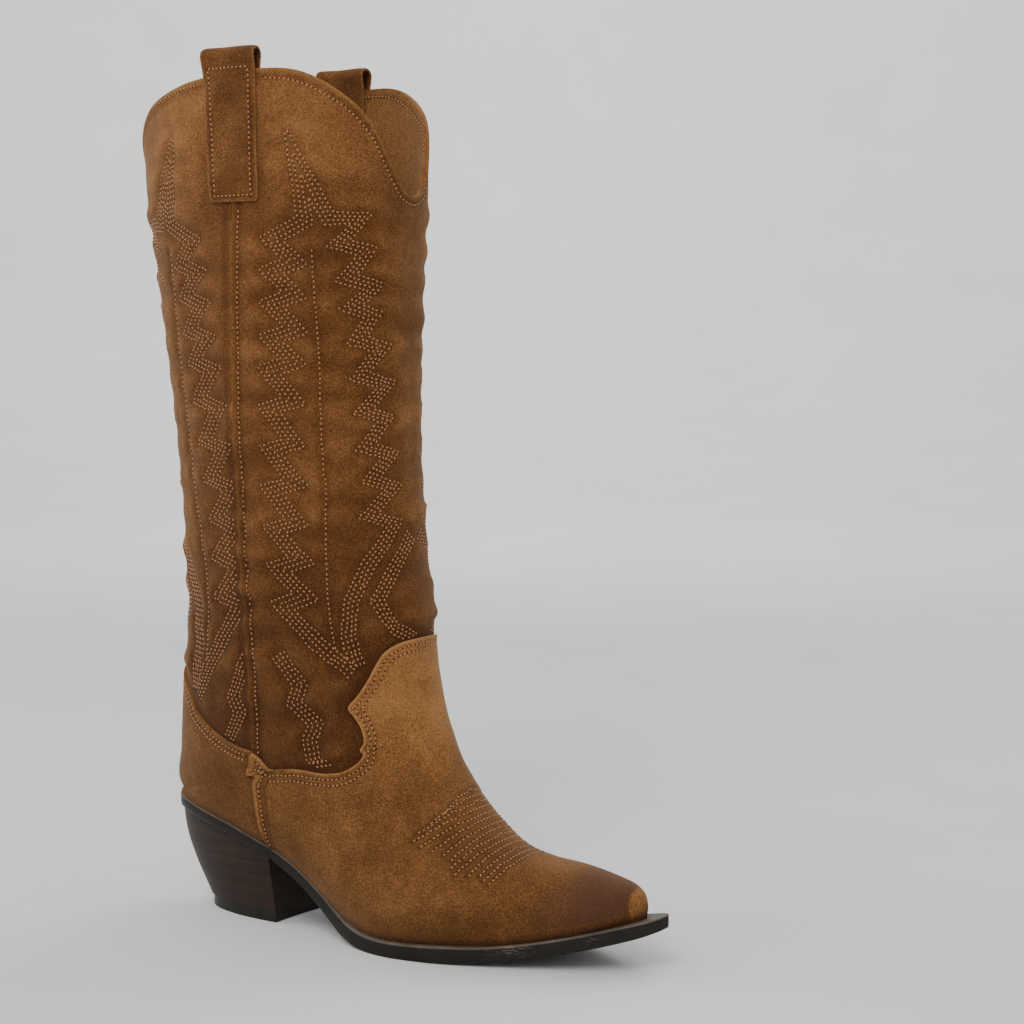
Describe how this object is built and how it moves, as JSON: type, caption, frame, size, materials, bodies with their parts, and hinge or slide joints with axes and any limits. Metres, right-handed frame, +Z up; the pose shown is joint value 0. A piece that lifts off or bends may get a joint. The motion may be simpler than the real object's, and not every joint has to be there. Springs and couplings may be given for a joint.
{
  "type": "cowboy boot",
  "caption": "Pull-on western boot for the right foot: dipped suede leg with pull straps, pointed toe, welted sole and an angled block heel.",
  "frame": {"origin": "on the floor, on the walking face of the heel, 30.5 mm in front of the heel's rear edge, on the boot's lengthwise centre line", "axes": "+X to the toe, +Y to the wearer's left (the inner side of this right boot), +Z up the leg"},
  "size_m": [0.2995, 0.1064, 0.4471],
  "materials": {
    "suede": "brushed suede nap",
    "facing_suede": "suede, nap side in",
    "lining_textile": "matt woven",
    "stiffener_sheet": "matt",
    "fibre_board": "matt board",
    "steel": "bright",
    "brass_rivet": "plain",
    "filler_felt": "felt",
    "sock_leather": "smooth",
    "pad_foam": "foam",
    "sole_rubber": "satin, lightly scuffed",
    "heel_stack": "stained stacked layers, satin",
    "top_piece_rubber": "matt"
  },
  "bodies": {
    "root": {"front_shaft": "suede", "back_shaft": "suede", "vamp": "suede", "counter_cover": "suede", "outer_pull_strap": "suede", "inner_pull_strap": "suede", "front_facing": "facing_suede", "back_facing": "facing_suede", "front_lining": "lining_textile", "back_lining": "lining_textile", "vamp_lining": "lining_textile", "toe_puff": "stiffener_sheet", "heel_stiffener": "stiffener_sheet", "insole_board": "fibre_board", "shank_board": "fibre_board", "steel_shank": "steel", "shank_rivets": "brass_rivet", "bottom_filler": "filler_felt", "sock_lining": "sock_leather", "heel_pad": "pad_foam", "outsole": "sole_rubber", "heel_block": "heel_stack", "heel_top_piece": "top_piece_rubber", "heel_screw": "steel", "heel_nails": "steel", "top_piece_pins": "steel"}
  },
  "joints": []
}
